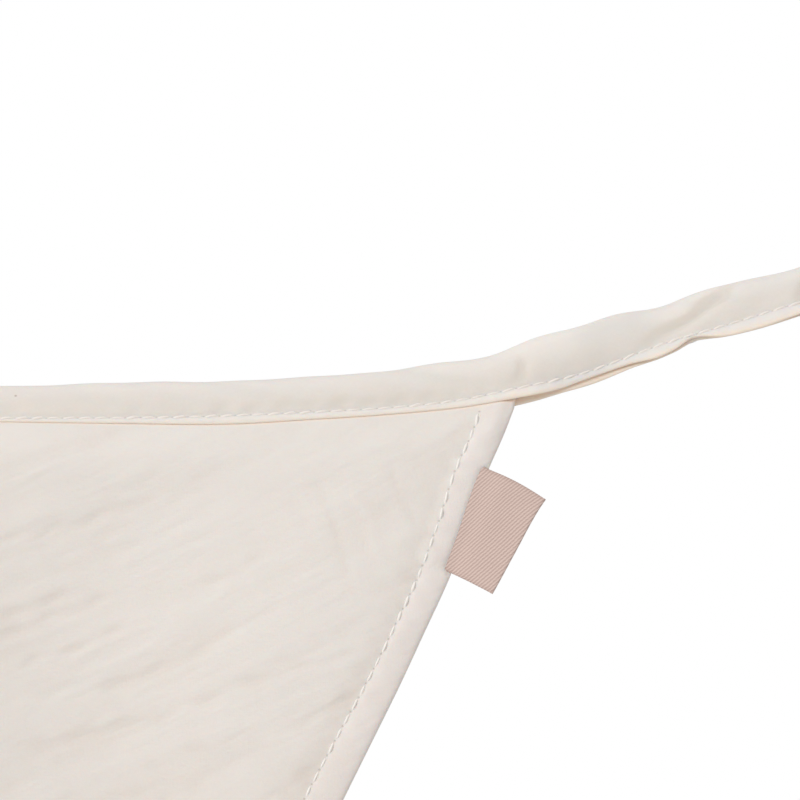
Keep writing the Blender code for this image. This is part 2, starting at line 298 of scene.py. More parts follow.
# Colours: the cloth and the painted warm shade of its troughs, painted warm bounce light under a lip, hem,
# tape, painted bounce light on the tape's lip over a pennant, painted warm shade inside the tape, the two
# threads, holes, fleck and ribbon. The fleck's place is on the tape in mm.
COTTON = (0.812, 0.765, 0.715)
COTTON_SHADE = (0.745, 0.675, 0.61)
COTTON_BOUNCE_UNDER_LIP = (0.95, 0.79, 0.67)
COTTON_HEM = (0.838, 0.776, 0.731)
COTTON_TAPE = (0.852, 0.78, 0.732)
COTTON_LIP_LIT = (0.91, 0.80, 0.735)
COTTON_INSIDE_SHADE = (0.88, 0.72, 0.61)
THREAD = (0.93, 0.88, 0.82)
TAPE_THREAD = (0.90, 0.83, 0.765)
HOLE_SHADE = (0.30, 0.26, 0.22)
FLECK_SHADE = (0.30, 0.22, 0.15)
FLECK = (0.1, 4.7)
LABEL_LIGHT = (0.75, 0.58, 0.51)
LABEL_DARK = (0.55, 0.40, 0.35)


def ease(value, start, end):
    """0 before the start, 1 after the end and a soft step between."""
    t = np.clip((np.asarray(value, dtype=float) - start) / (end - start), 0.0, 1.0)
    return t * t * (3.0 - 2.0 * t)


def read(rows, column, at):
    """The smooth curve through one column of a table whose first column says where."""
    places = np.array([row[0] for row in rows], dtype=float)
    values = np.array([getattr(row, column) for row in rows], dtype=float)
    rate = np.gradient(values, places)
    k = np.clip(np.searchsorted(places, at) - 1, 0, len(places) - 2)
    span = places[k + 1] - places[k]
    t = np.clip((at - places[k]) / span, 0.0, 1.0)
    start = (2 * t**3 - 3 * t**2 + 1) * values[k] + (t**3 - 2 * t**2 + t) * span * rate[k]
    end = (3 * t**2 - 2 * t**3) * values[k + 1] + (t**3 - t**2) * span * rate[k + 1]
    return start + end


def unit(vectors):
    return vectors / np.linalg.norm(vectors, axis=-1, keepdims=True)


# The hanging line and the folded tape

def slope_at(along):
    return np.radians(np.sign(along) * read(LINE, "slope", np.abs(along)))


def hanging_line():
    along = np.arange(-HALF_TAPE, HALF_TAPE + 1.0)
    slope = slope_at(along[:-1] + 0.5)
    x = np.concatenate([[0.0], np.cumsum(np.cos(slope))])
    z = np.concatenate([[0.0], np.cumsum(np.sin(slope))])
    return along, x, z


ALONG, LINE_X, LINE_Z = hanging_line()


def in_tape(along, out, up):
    """A point of the folded tape, out towards the front and up from its stitches."""
    along, out, up = np.broadcast_arrays(
        np.asarray(along, dtype=float), np.asarray(out, dtype=float), np.asarray(up, dtype=float)
    )
    slope = slope_at(along)
    lean = np.radians(read(TAPE, "lean", along))
    rise = up * np.cos(lean) + out * np.sin(lean)
    x = np.interp(along, ALONG, LINE_X) - np.sin(slope) * rise
    y = up * np.sin(lean) - out * np.cos(lean)
    z = np.interp(along, ALONG, LINE_Z) + np.cos(slope) * rise
    return np.stack([x, y, z], axis=-1)


TIED_END = in_tape(-HALF_TAPE, 0.0, (TAPE[0].rise - TAPE[0].front_lip) / 2)


def slot_at(along):
    nearest = np.min([np.abs(along - pennant.middle) for pennant in PENNANTS], axis=0)
    return SLOT_AT_PENNANT + (SLOT_CLOSED - SLOT_AT_PENNANT) * ease(nearest, *SLOT_EASE)


def dents(along, up, face):
    """How far the tape's face stands out of its smooth form."""
    out = np.zeros(np.broadcast(along, up).shape)
    for dent in DENTS:
        if dent.face == face:
            turn = math.radians(dent.turn)
            run = (along - dent.along) * math.cos(turn) + (up - dent.height) * math.sin(turn)
            off = (up - dent.height) * math.cos(turn) - (along - dent.along) * math.sin(turn)
            out = out + dent.out * np.exp(-((run / dent.length) ** 2) - (off / dent.width) ** 2)
    return out


def ripple(along, seed, shortest, longest, count):
    """A sum of sine waves of mixed length along the tape, between -1 and 1."""
    dice = np.random.default_rng(seed)
    total = np.zeros(np.shape(along))
    for length, start in zip(dice.uniform(shortest, longest, count), dice.uniform(0, 6.28, count)):
        total = total + np.sin(6.2832 * along / length + start)
    return total / count


def puckers(along, up, face):
    """The pull of the stitches on the tape's outer face: a pinched row, scallops and short ridges."""
    row = np.exp(-((up / 0.8) ** 2))
    scallop = 0.5 + 0.5 * np.cos(2 * math.pi * along / STITCH)
    above = np.exp(-((np.maximum(up, 0.0) / 3.0) ** 2)) * ease(up, 0.2, 1.4)
    lip = ease(-up, 0.2, 1.2)
    pinch = -0.11 * row * (0.4 + 0.6 * scallop)
    ridges = 0.24 * above * ripple(along - 0.8 * up, 5 + face, 3.0, 11.0, 7)
    flutter = 0.12 * lip * (ripple(along, 9 + face, 3.0, 9.0, 5) - 0.5 * scallop)
    broad = 0.26 * ripple(along + 3 * up, 17 + face, 12.0, 40.0, 5) * ease(up, 1.0, 5.0)
    return pinch + ridges + flutter + broad


# A lip's cross sections from its thin rolled edge up to the stitches, and the wall's half thickness there
LEG_STEPS = (0.0, 0.14, 0.45, 0.75, 1.0)
LEG_HALF = (0.10, 0.30, 0.42, 0.48, 0.5)
FOLD_STEPS = 12
UP_STEPS = 9

# A height on the seam map that no stitch is near
NO_ROW = 50.0


def tape_wall(along):
    """The middle of the tape's wall from lip to lip, its half thickness, and how high each point is."""
    slot = slot_at(along) + TAPE_WALL / 2
    plump = np.maximum(read(TAPE, "plump", along), slot)
    shoulder = read(TAPE, "rise", along) - FOLD_HEIGHT
    closed = (SLOT_AT_PENNANT - slot_at(along)) / (SLOT_AT_PENNANT - SLOT_CLOSED)
    out = []
    up = []
    half = []
    faces = []
    for face, lip_name in ((FRONT, "front_lip"), (BACK, "back_lip")):
        lip = read(TAPE, lip_name, along)
        leg_up = [-lip * (1.0 - step) for step in LEG_STEPS]
        leg_half = list(LEG_HALF)
        for n in range(1, UP_STEPS):
            leg_up.append(shoulder * (n / UP_STEPS) ** 1.25)
            leg_half.append(0.5)
        leg_out = []
        long_lip = np.minimum(lip / 1.5, 1.0)
        for height in leg_up:
            flare = LIP_FLARE * (1.0 - 0.7 * closed) * long_lip * np.clip(-height / lip, 0.0, 1.0)
            if face == BACK:
                curl = ease(-height - read(TAPE, "front_lip", along), -1.7, 1.3)
                flare = flare - BACK_CURL * curl * closed * long_lip
            belly = np.sin(0.5 * math.pi * np.clip(height / (0.6 * shoulder), 0.0, 1.0)) ** 0.85
            wall = slot + flare + (plump - slot) * belly
            leg_out.append(face * (wall + dents(along, height, face)))
        if face == BACK:
            leg_up, leg_out, leg_half = leg_up[::-1], leg_out[::-1], leg_half[::-1]
            for n in range(FOLD_STEPS + 1):
                turn = math.pi * n / FOLD_STEPS
                height = shoulder + FOLD_HEIGHT * math.sin(turn)
                side = FRONT if n <= FOLD_STEPS / 2 else BACK
                push = dents(along, height, side) * abs(math.cos(turn))
                out.append((plump + push) * math.cos(turn))
                up.append(height)
                half.append(0.5)
                faces.append(side)
        out += leg_out
        up += leg_up
        half += leg_half
        faces += [face] * len(leg_up)
    half = np.array(half)[:, None] * TAPE_WALL + 0.0 * along
    return np.array(out), np.array(up), half, np.array(faces)


def wall_normals(out, up):
    """The outward direction of the wall in each section, square to the run from lip to lip."""
    run_out = np.gradient(out, axis=0)
    run_up = np.gradient(up, axis=0)
    length = np.hypot(run_out, run_up)
    return run_up / length, -run_out / length


def tape_skins(along):
    """The tape's outer and inner skin: points by place on the section and place along the tape."""
    out, up, half, faces = tape_wall(along)
    off_out, off_up = wall_normals(out, up)
    round_end = np.sqrt(np.clip((HALF_TAPE - np.abs(along) + 0.02) / 0.6, 0.02, 1.0))
    half = half * round_end
    relief = np.where(
        (faces == FRONT)[:, None], puckers(along, up, FRONT), puckers(along, up, BACK)
    )
    relief = relief * ease(half, 0.1, 0.5)
    outer = in_tape(along, out + off_out * (half + relief), up + off_up * (half + relief))
    inner = in_tape(along, out - off_out * half, up - off_up * half)
    pushed = np.where((faces == FRONT)[:, None], dents(along, up, FRONT), dents(along, up, BACK))
    # Painted warm shade on the rolled edges of both lips, as a share for each section
    tucked = np.concatenate([[1.0, 0.6], np.zeros(len(up) - 4), [0.6, 1.0]])[:, None] + 0.0 * up
    return outer, inner, up, relief + pushed, tucked


# The pennants

def half_width(down):
    side = (PENNANT_TOP / 2 - TIP_HALF_WIDTH) / PENNANT_DROP
    width = TIP_HALF_WIDTH + side * (PENNANT_DROP - down)
    width = width + read(SIDE, "bow", down)
    round_off = np.clip((down - PENNANT_DROP + TIP_ROUND) / TIP_ROUND, 0.0, TIP_BLUNT)
    return width * np.sqrt(1.0 - round_off**2)


def fold_depth(name, across, down):
    forward = np.zeros(np.shape(across))
    for fold in FOLDS:
        if fold.pennant == name:
            centre = fold.top + (fold.bottom - fold.top) * down / PENNANT_DROP
            forward = forward + fold.forward * np.exp(-(((across - centre) / fold.width) ** 2))
    return forward * ease(down, HELD, HELD + FOLD_FADE)


def in_pennant(pennant, across, down):
    """A point of a pennant's middle surface: held by the tape above, then turning to hang."""
    along = pennant.middle + across
    held = in_tape(along, 0.0, -np.minimum(down, HELD))
    tilt = float(slope_at(np.array(float(pennant.middle))))
    way = np.array([math.cos(tilt), 0.0, math.sin(tilt)])
    upward = np.array([-math.sin(tilt), 0.0, math.cos(tilt)])
    centre = in_tape(pennant.middle, 0.0, 0.0)
    start = in_tape(pennant.middle, 0.0, -HELD) - centre
    start_level = start @ upward
    free = np.maximum(down - HELD, 0.0)
    follow = 1.0 - ease(free, 0.0, LINE_FADE)
    lean = np.radians(read(TAPE, "lean", along))
    turning = EASE_TO_HANG * (1.0 - np.exp(-free / EASE_TO_HANG))
    offset = held - centre
    sideways = across + (offset @ way - across) * follow
    sideways = sideways - math.tan(math.radians(pennant.swing)) * free
    level = start_level + (offset @ upward - start_level) * follow
    level = level - free + (1.0 - np.cos(lean)) * turning
    depth = start[1] + (offset[..., 1] - start[1]) * follow - np.sin(lean) * turning
    depth = depth - fold_depth(pennant.name, across, down)
    hung = centre + sideways[..., None] * way + level[..., None] * upward
    hung[..., 1] = depth
    return np.where((down <= HELD)[..., None], held, hung)


def seam_angle(down):
    """The angle of a pennant's side edge from straight down, in radians."""
    return np.arctan((half_width(down - 1.0) - half_width(down + 1.0)) / 2.0)


def hem_scale(down):
    return read(SIDE, "hem", down) / HEM


def seam_place(across, down):
    """How far in from the side edge a point is, on the scale of the hem, and how far down along it."""
    angle = seam_angle(np.minimum(down, PENNANT_DROP - 8.0))
    inset = (half_width(down) - np.abs(across)) * np.cos(angle) / hem_scale(down)
    along = down / np.cos(seam_angle(np.array(100.0))) + (half_width(down) - np.abs(across)) * np.sin(angle)
    return inset, along


def creases_of(pennant, face):
    """Listed creases on the photographed front, and like ones by dice on the rest."""
    dice = np.random.default_rng(pennant.seed + (0 if face == FRONT else 100))
    rows = list(CREASES) if pennant.middle == 0 and face == FRONT else []
    while len(rows) < CREASE_COUNT:
        down = dice.uniform(2.0, PENNANT_DROP - 20.0)
        reach = half_width(np.array(down))
        across = dice.uniform(-reach, reach)
        seen = pennant.middle == 0 and face == FRONT and across > -16 and down < 76
        share = dice.uniform()
        if seen and share < 0.3:
            continue
        angle = math.radians(dice.normal(24.0, 6.0) if share > 0.12 else dice.normal(-65.0, 9.0))
        length = dice.uniform(5.0, 26.0)
        depth = dice.choice([-1.0, -1.0, 1.0]) * dice.uniform(0.02, 0.10)
        if seen:
            depth = depth * 0.6
        rows.append(
            Crease(
                across - 0.5 * length * math.cos(angle),
                down + 0.5 * length * math.sin(angle),
                across + 0.5 * length * math.cos(angle),
                down - 0.5 * length * math.sin(angle),
                dice.uniform(0.5, 1.2),
                depth,
            )
        )
    return rows


def crinkle(pennant, face, across, down):
    """The cloth's creases and its soft unevenness, standing out of one face."""
    relief = np.zeros(across.shape)
    for n, crease in enumerate(creases_of(pennant, face)):
        run_across = crease.across_end - crease.across
        run_down = crease.down_end - crease.down
        length = math.hypot(run_across, run_down)
        run = ((across - crease.across) * run_across + (down - crease.down) * run_down) / length
        off = ((down - crease.down) * run_across - (across - crease.across) * run_down) / length
        near = np.abs(off) < 5.0
        near &= (run > -4.0) & (run < length + 4.0)
        part = run[near]
        bend = 0.42 * np.sin(part / (1.7 + n % 4) + n)
        broken = 0.72 + 0.28 * np.sin(0.7 * part + 2.0 * n)
        taper = ease(part, -4.0, 0.3 * length) * (1.0 - ease(part, 0.7 * length, length + 4.0))
        depth = CREASE_DEPTH * crease.out * taper * broken
        relief[near] += depth * np.exp(-(((off[near] + bend) / crease.width) ** 2))
    for length, angle, height, start in (
        (23.0, 24.0, 0.05, 0.4),
        (13.0, 31.0, 0.035, 2.1),
        (8.1, 17.0, 0.022, 4.0),
        (5.3, -64.0, 0.010, 1.0),
    ):
        turn = math.radians(angle)
        phase = (across * math.sin(turn) + down * math.cos(turn)) * 6.2832 / length
        drift = 1.6 * np.sin(across / 19.0 + start * 2.0 + pennant.seed) + 1.3 * np.sin(down / 14.0 + start)
        relief += height * np.sin(phase + drift + start + 1.7 * face)
    return relief


def hem_pull(pennant, face, inset, along):
    """The pull of the hem's stitches: scallops in the channel and puckers that run across it."""
    channel = np.exp(-(((inset - HEM) / 0.75) ** 2))
    scallop = 0.5 + 0.5 * np.cos(2 * math.pi * along / STITCH)
    beside = np.exp(-(((inset - HEM) / 3.4) ** 2))
    seed = pennant.seed + face
    pull = -0.12 * channel * scallop
    pull = pull + 0.38 * beside * ripple(along + 0.4 * inset, seed, 2.8, 8.0, 7)
    pull = pull + 0.09 * np.exp(-((inset / 2.6) ** 2)) * ripple(along, seed + 3, 6.0, 19.0, 6)
    return pull


def cloth_thickness(inset, down, tip_share):
    """The cloth's thickness: pressed in the tape, puffy at the hem, even inside."""
    squeezed = inset / tip_share
    full = np.interp(squeezed, [edge.inset for edge in EDGE], [edge.thickness for edge in EDGE])
    rim = np.minimum(1.0, full / EDGE[2].thickness)
    loose = ease(down, HELD, HELD + HEM_OPENS)
    thick = TUCKED_THICKNESS * rim + (full - TUCKED_THICKNESS * rim) * loose
    ends = ease(down, -TUCKED_IN, -TUCKED_IN + 1.0) * np.sqrt(np.clip((PENNANT_DROP - down) / 1.4, 0.0, 1.0))
    return thick * ends


def label_notch(pennant, across, down, inset, face):
    """How far in from the edge the front of the hem gives way to the sewn-in label."""
    if pennant.middle != 0 or face == BACK:
        return 0.0 * down
    foot = down + inset * hem_scale(down) * np.sin(seam_angle(down))
    held = ease(foot, LABEL_START - 0.3, LABEL_START + 0.1)
    held = held * (1.0 - ease(foot, LABEL_END - 0.1, LABEL_END + 0.3))
    return np.interp(foot, (LABEL_START, LABEL_END), LABEL_OVERLAP) * held * (across > 0)


def pennant_skin(pennant, across, down, face):
    """Points of one face of a pennant, the height of its creases, and how far it is under the lip as the mask
    of its painted warm bounce light.
    """
    inset, along = seam_place(across, down)
    share = np.clip(half_width(down) / (2.0 * EDGE[9].inset), 0.25, 1.0)
    open_inset = np.maximum(inset - label_notch(pennant, across, down, inset, face), 0.0)
    thick = cloth_thickness(open_inset, down, share)
    step = 0.3
    middle = in_pennant(pennant, across, down)
    run = in_pennant(pennant, across + step, down) - in_pennant(pennant, across - step, down)
    fall = in_pennant(pennant, across, down + step) - in_pennant(pennant, across, down - step)
    normal = unit(np.cross(fall, run))
    crease = crinkle(pennant, face, across, down) * ease(inset, HEM - 1.5, HEM + 3.0)
    relief = crease + hem_pull(pennant, face, inset, along) * share
    relief = relief * ease(down, HELD - 1.0, HELD + HEM_OPENS) * ease(thick, 0.3, 1.2)
    lip = read(TAPE, "front_lip" if face == FRONT else "back_lip", pennant.middle + across)
    if face == FRONT:
        below = np.where(down < lip, down / lip - 1.0, down - lip)
        swell = np.interp(below, [row.below for row in SWELL], [row.out for row in SWELL])
        thick = thick + 2.0 * swell * ease(inset, 0.0, 3.0)
    points = middle + face * normal * (0.5 * thick + relief)[..., None]
    return points, crease, 1.0 - ease(down - lip, 0.0, 0.8)


def pennant_rows(pennant):
    """Rows of points, one fewer in each: set by the hems at the sides and evenly spaced between."""
    count = pennant.columns - TIP_COLUMNS
    sides = len(HEM_COLUMNS) - 1
    fine = np.linspace(-TUCKED_IN, PENNANT_DROP, 4000)
    steps = 1.0 / np.interp(fine, [row.down for row in ROW_SPACING], [row.share for row in ROW_SPACING])
    place = np.cumsum(steps) - steps[0]
    downs = np.interp(np.arange(count + 1), place / place[-1] * count, fine)
    rows = []
    for n, down in enumerate(downs):
        columns = pennant.columns - n
        half = float(half_width(np.array(down)))
        reach = np.array(HEM_COLUMNS) * float(hem_scale(down)) / math.cos(float(seam_angle(down)))
        spacing = max((half - reach[-1]) / max(columns / 2 - sides, 1.0), LEAST_SPACING)
        index = np.arange(columns + 1)
        nearest = np.append(np.minimum(index, columns - index), columns / 2)
        drawn = np.interp(nearest, np.arange(sides + 1), reach)
        drawn = drawn + np.maximum(nearest - sides, 0) * spacing
        drawn = drawn[:-1] * half / drawn[-1]
        across = np.where(index < columns / 2, -half + drawn, half - drawn)
        rows.append((across, np.full(columns + 1, down)))
    return rows


# Meshes

def as_object(name, points, faces, maps, marks=None):
    """A mesh object of points in millimetres, with UV maps by face corner and values by point."""
    mesh = bpy.data.meshes.new(name)
    mesh.from_pydata(((points - TIED_END) * MM).tolist(), [], faces)
    for map_name, corners in maps.items():
        layer = mesh.uv_layers.new(name=map_name)
        layer.uv.foreach_set("vector", (np.asarray(corners, dtype=np.float32) * MM).ravel())
    for mark, values in (marks or {}).items():
        store = mesh.attributes.new(mark, "FLOAT", "POINT")
        store.data.foreach_set("value", np.asarray(values, dtype=np.float32).ravel())
    mesh.shade_smooth()
    piece = bpy.data.objects.new(name, mesh)
    bpy.context.scene.collection.objects.link(piece)
    return piece


def make_pennant(pennant):
    rows = pennant_rows(pennant)
    across = np.concatenate([row[0] for row in rows])
    down = np.concatenate([row[1] for row in rows])
    starts = np.cumsum([0] + [len(row[0]) for row in rows])
    inset, along = seam_place(across, down)
    rim = np.zeros(len(across), dtype=bool)
    rim[: starts[1]] = True
    rim[starts[-2] :] = True
    rim[starts[:-1]] = True
    rim[starts[1:] - 1] = True
    front, front_fold, front_tucked = pennant_skin(pennant, across, down, FRONT)
    back, back_fold, back_tucked = pennant_skin(pennant, across, down, BACK)
    back_index = np.zeros(len(across), dtype=int)
    back_index[rim] = np.nonzero(rim)[0]
    back_index[~rim] = len(across) + np.arange(int(np.sum(~rim)))
    points = np.concatenate([front, back[~rim]])
    triangles = []
    for n in range(len(rows) - 1):
        upper = np.arange(starts[n], starts[n + 1])
        lower = np.arange(starts[n + 1], starts[n + 2])
        triangles.append(np.stack([upper[:-1], lower, upper[1:]], axis=1))
        triangles.append(np.stack([upper[1:-1], lower[:-1], lower[1:]], axis=1))
    triangles = np.concatenate(triangles)
    triangles = triangles[~rim[triangles].all(axis=1)]
    behind = back_index[triangles[:, ::-1]]
    corners = np.concatenate([triangles, triangles[:, ::-1]]).ravel()
    cloth = np.stack([across, -down], axis=1)[corners]
    seam = np.stack([along, inset], axis=1)[corners]
    faces = np.concatenate([triangles, behind]).tolist()
    # Marks: crease heights, and the mask of painted warm bounce light under the tape's lip
    marks = {
        "fold": np.concatenate([front_fold, back_fold[~rim]]),
        "tucked": np.concatenate([front_tucked, back_tucked[~rim]]),
    }
    return as_object(pennant.name + "_cloth", points, faces, {"cloth": cloth, "seam": seam}, marks)


def make_tape():
    along = [np.array([STRETCHES[0].start])]
    for stretch in STRETCHES:
        count = round((stretch.end - stretch.start) / stretch.step)
        along.append(stretch.start + (stretch.end - stretch.start) * np.arange(1, count + 1) / count)
    along = np.concatenate(along)
    outer, inner, up, fold, tucked = tape_skins(along)
    loop = np.concatenate([outer, inner[::-1]])
    # Marks: dent and pucker heights, and the mask of painted warm shade, which covers the whole inner skin
    marks = {
        "fold": np.concatenate([fold, 0.0 * fold]),
        "tucked": np.concatenate([tucked, 0.0 * tucked + 1.0]),
    }
    round_count, length = loop.shape[:2]
    girth = np.concatenate([[0.0], np.cumsum(np.linalg.norm(np.diff(outer, axis=0), axis=2).mean(1))])
    girth = np.concatenate([girth, girth[::-1], girth[:1]])[:, None] + np.zeros(length)
    row = np.concatenate([up, np.full(up.shape, NO_ROW), up[:1]])
    index = np.arange(round_count * length).reshape(round_count, length)
    quads = []
    cloth = []
    seam = []
    for k in range(round_count):
        j = (k + 1) % round_count
        quads.append(np.stack([index[k, :-1], index[k, 1:], index[j, 1:], index[j, :-1]], axis=1))
        start, end = along[:-1], along[1:]
        for store, values in ((cloth, girth), (seam, row)):
            near, far = values[k], values[k + 1]
            corner = [(start, near[:-1]), (end, near[1:]), (end, far[1:]), (start, far[:-1])]
            store.append(np.stack([np.stack(pair, axis=1) for pair in corner], axis=1))
    half = round_count // 2
    for column, flip in ((0, False), (length - 1, True)):
        k = np.arange(half - 1)
        rounds = (k, k + 1, round_count - 2 - k, round_count - 1 - k)
        cap = np.stack([index[n, column] for n in rounds], axis=1)
        quads.append(cap[:, ::-1] if flip else cap)
        end_map = np.full((half - 1, 4, 2), along[column])
        end_map[:, :, 1] = NO_ROW
        cloth.append(end_map)
        seam.append(end_map)
    quads = np.concatenate(quads)
    maps = {"cloth": np.concatenate(cloth).reshape(-1, 2), "seam": np.concatenate(seam).reshape(-1, 2)}
    return as_object("tape_cloth", loop.reshape(-1, 3), quads.tolist(), maps, marks)


def make_label():
    """A woven ribbon folded end to end, its two layers a little apart, standing out of the seam."""
    pennant = PENNANTS[1]
    rows = 60
    across_steps = 34
    bend = 6
    down = np.linspace(LABEL_START, LABEL_END, rows)
    root = in_pennant(pennant, half_width(down), down)
    along = unit(np.gradient(root, axis=0))
    outward = unit(np.cross(along, (0.0, 1.0, 0.0)))
    facing = unit(np.cross(along, outward))
    reach = np.linspace(LABEL_OUT_TOP, LABEL_OUT_END, rows)
    reach = reach - 0.2 * np.sin(math.pi * np.linspace(0, 1, rows))
    layer = RIBBON + RIBBON_GAP
    section = []
    for n in range(across_steps):
        section.append((n / (across_steps - 1), layer))
    for n in range(1, bend):
        turn = math.pi * (0.5 - n / bend)
        section.append((1.0 + 0.03 * math.cos(turn), layer * math.sin(turn)))
    for n in range(across_steps):
        section.append((1.0 - n / (across_steps - 1), -layer))
    for n in range(across_steps):
        section.append((n / (across_steps - 1) * 0.985, -RIBBON_GAP))
    section.append((0.995, 0.0))
    for n in range(across_steps):
        section.append(((1.0 - n / (across_steps - 1)) * 0.985, RIBBON_GAP))
    share = np.array([point[0] for point in section])[None, :]
    lift = np.array([point[1] for point in section])[None, :]
    out = share * (reach[:, None] + LABEL_TUCK) - LABEL_TUCK
    slack = np.linspace(0.3, 1.0, rows)[:, None]
    curl = LABEL_CURL * slack * np.sin(0.5 * math.pi * np.clip(out / reach[:, None], 0.0, 1.0))
    wave = 0.10 * np.sin(out / 2.3 + np.linspace(0, 2.2, rows)[:, None])
    curl = curl + wave * ease(out, 0.5, 4.0)
    skew = out * math.tan(math.radians(LABEL_TURN))
    bow = 0.35 * np.linspace(1, 0.2, rows)[:, None]
    skew = skew - bow * np.sin(math.pi * np.clip(out / reach[:, None], 0.0, 1.0))
    points = root[:, None] + outward[:, None] * out[..., None]
    points = points + facing[:, None] * (lift + curl)[..., None] + along[:, None] * skew[..., None]
    count = len(section)
    index = np.arange(rows * count).reshape(rows, count)
    quads = []
    maps = []
    place = np.stack([out, np.broadcast_to(down[:, None], out.shape)], axis=-1)
    for k in range(count):
        j = (k + 1) % count
        quads.append(np.stack([index[:-1, k], index[1:, k], index[1:, j], index[:-1, j]], axis=1))
        maps.append(np.stack([place[:-1, k], place[1:, k], place[1:, j], place[:-1, j]], axis=1))
    flat = across_steps - 1
    pairs = [(n, count - 1 - n) for n in range(flat)]
    tail = 2 * across_steps + bend - 1
    pairs_back = [(tail - 1 - n, tail + n) for n in range(flat)]
    for row, flip in ((0, False), (rows - 1, True)):
        for chosen in (pairs, pairs_back):
            for n in range(flat - 1):
                a, b = chosen[n]
                c, d = chosen[n + 1]
                face = [index[row, a], index[row, c], index[row, d], index[row, b]]
                quads.append(np.array([face[::-1] if flip else face]))
                maps.append(np.array([[place[row, a], place[row, c], place[row, d], place[row, b]]]))
    cloth = {"cloth": np.concatenate(maps).reshape(-1, 2)}
    return as_object("label_ribbon", points.reshape(-1, 3), np.concatenate(quads).tolist(), cloth)


# Stitches

def guide(name, points, ways, outs, lengths):
    """A cloud of points, one for each stitch, with its direction, facing and length."""
    mesh = bpy.data.meshes.new(name)
    mesh.from_pydata(((points - TIED_END) * MM).tolist(), [], [])
    for attribute, values in (("way", ways), ("facing", outs)):
        mesh.attributes.new(attribute, "FLOAT_VECTOR", "POINT").data.foreach_set(
            "vector", values.astype(np.float32).ravel()
        )
    mesh.attributes.new("span", "FLOAT", "POINT").data.foreach_set(
        "value", (lengths / STITCH).astype(np.float32)
    )
    cloud = bpy.data.objects.new(name, mesh)
    bpy.context.scene.collection.objects.link(cloud)
    return cloud


def between_holes(holes, facing):
    """Stitch middles, directions, facings and lengths from a row of needle holes."""
    way = holes[1:] - holes[:-1]
    middle = (holes[1:] + holes[:-1]) / 2
    out = unit(facing[1:] + facing[:-1])
    return middle, unit(way), out, np.linalg.norm(way, axis=1)


def tape_holes(face):
    """Needle holes of the tape's long row, on its outer face."""
    count = int((HALF_TAPE - 2.5) // STITCH)
    along = np.arange(-count, count + 1) * STITCH
    slot = slot_at(along) + TAPE_WALL
    holes = in_tape(along, face * (slot + dents(along, 0.0, face) - 0.14), 0.0)
    facing = unit(in_tape(along, face * (slot + 1.0), 0.0) - in_tape(along, face * slot, 0.0))
    return holes, facing


def hem_row(pennant, face):
    """Needle holes down the left hem, round the tip and up the right hem of a pennant."""
    meet = np.arange(0.0, PENNANT_DROP, 0.05)
    pivot = meet[np.argmin(np.abs(half_width(meet) * np.cos(seam_angle(meet)) - HEM))]
    left_across = []
    left_down = []
    for k in range(1, 400):
        target = k * STITCH
        down = np.arange(0.0, pivot + 0.05, 0.05)
        across = half_width(down) - HEM * hem_scale(down) / np.cos(seam_angle(down))
        inset, along = seam_place(across, down)
        if target > along[-1]:
            break
        spot = int(np.argmin(np.abs(along - target)))
        left_across.append(across[spot])
        left_down.append(down[spot])
    across = np.concatenate([-np.array(left_across), [0.0], np.array(left_across[::-1])])
    down = np.concatenate([left_down, [pivot], left_down[::-1]])
    keep = down > HELD * 0.3
    across, down = across[keep], down[keep]
    holes = pennant_skin(pennant, across, down, face)[0]
    step = 0.4
    middle_run = in_pennant(pennant, across + step, down) - in_pennant(pennant, across - step, down)
    middle_fall = in_pennant(pennant, across, down + step) - in_pennant(pennant, across, down - step)
    facing = face * unit(np.cross(middle_fall, middle_run))
    return holes, facing


